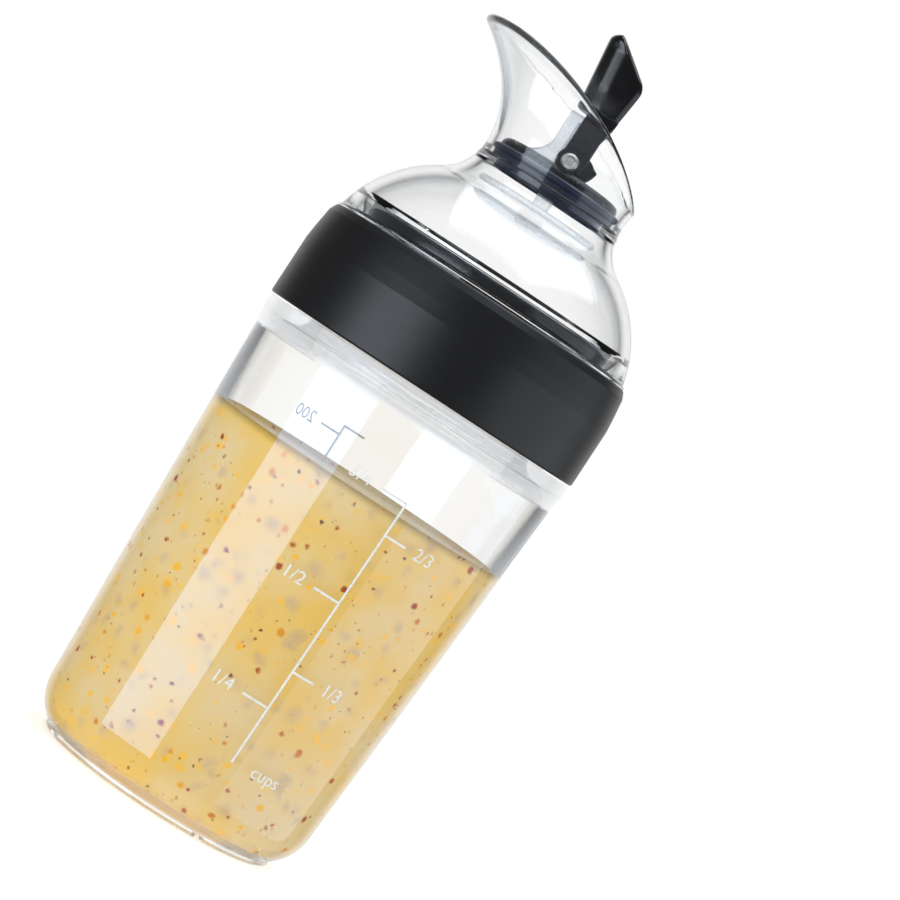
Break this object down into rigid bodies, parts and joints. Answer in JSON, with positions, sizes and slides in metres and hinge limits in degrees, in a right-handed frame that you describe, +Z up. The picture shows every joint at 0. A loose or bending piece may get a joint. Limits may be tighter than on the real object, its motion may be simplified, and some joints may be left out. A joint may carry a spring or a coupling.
{
  "type": "salad dressing shaker bottle",
  "caption": "Clear tapered shaker bottle with a screw-on domed lid, a flared pour spout, a soft grip band and a fold-back cam lever that pulls a valve disc shut.",
  "frame": {"origin": "centre of the foot, on the surface that the bottle stands on", "axes": "+Z up along the bottle's axis, -X towards the spout's lip, +X towards the side that the lever folds to"},
  "size_m": [0.068, 0.068, 0.1686],
  "materials": {
    "clear_body": "clear, polished",
    "clear_lid": "clear, polished",
    "soft_grip": "matte soft-touch",
    "silicone": "smooth silicone",
    "black_plastic": "glossy black",
    "natural_plastic": "natural, translucent",
    "steel": "turned stainless steel"
  },
  "bodies": {
    "container": {"bottle": "clear_body"},
    "gasket": {"lid_gasket": "silicone"},
    "lid": {"lid_dome": "clear_lid", "grip_band": "soft_grip", "spout": "clear_lid", "valve_seal": "silicone", "pour_insert": "black_plastic", "guide_post": "natural_plastic"},
    "valve": {"stopper": "natural_plastic"},
    "lever": {"lever": "black_plastic", "pivot_pin": "steel"}
  },
  "joints": [
    {"name": "lid_lift", "type": "slide", "parent": "container", "child": "gasket", "axis": [0, 0, 1], "range_m": [0, 0.0241]},
    {"name": "lid_turn", "type": "hinge", "parent": "gasket", "child": "lid", "pos_m": [0, 0, 0.1147], "axis": [0, 0, 1], "range_deg": [0, 1080]},
    {"name": "valve_slide", "type": "slide", "parent": "lid", "child": "valve", "axis": [0, 0, 1], "range_m": [0, 0.00266]},
    {"name": "lever_turn", "type": "hinge", "parent": "valve", "child": "lever", "pos_m": [0, 0, 0.1432], "axis": [0, 1, 0], "range_deg": [0, 80]}
  ],
  "couplings": [
    {"joint": "lid_lift", "follows": "lid_turn", "m_per_rad": 0.0012732},
    {"joint": "valve_slide", "follows": "lever_turn", "m_per_rad": 0.0019}
  ]
}
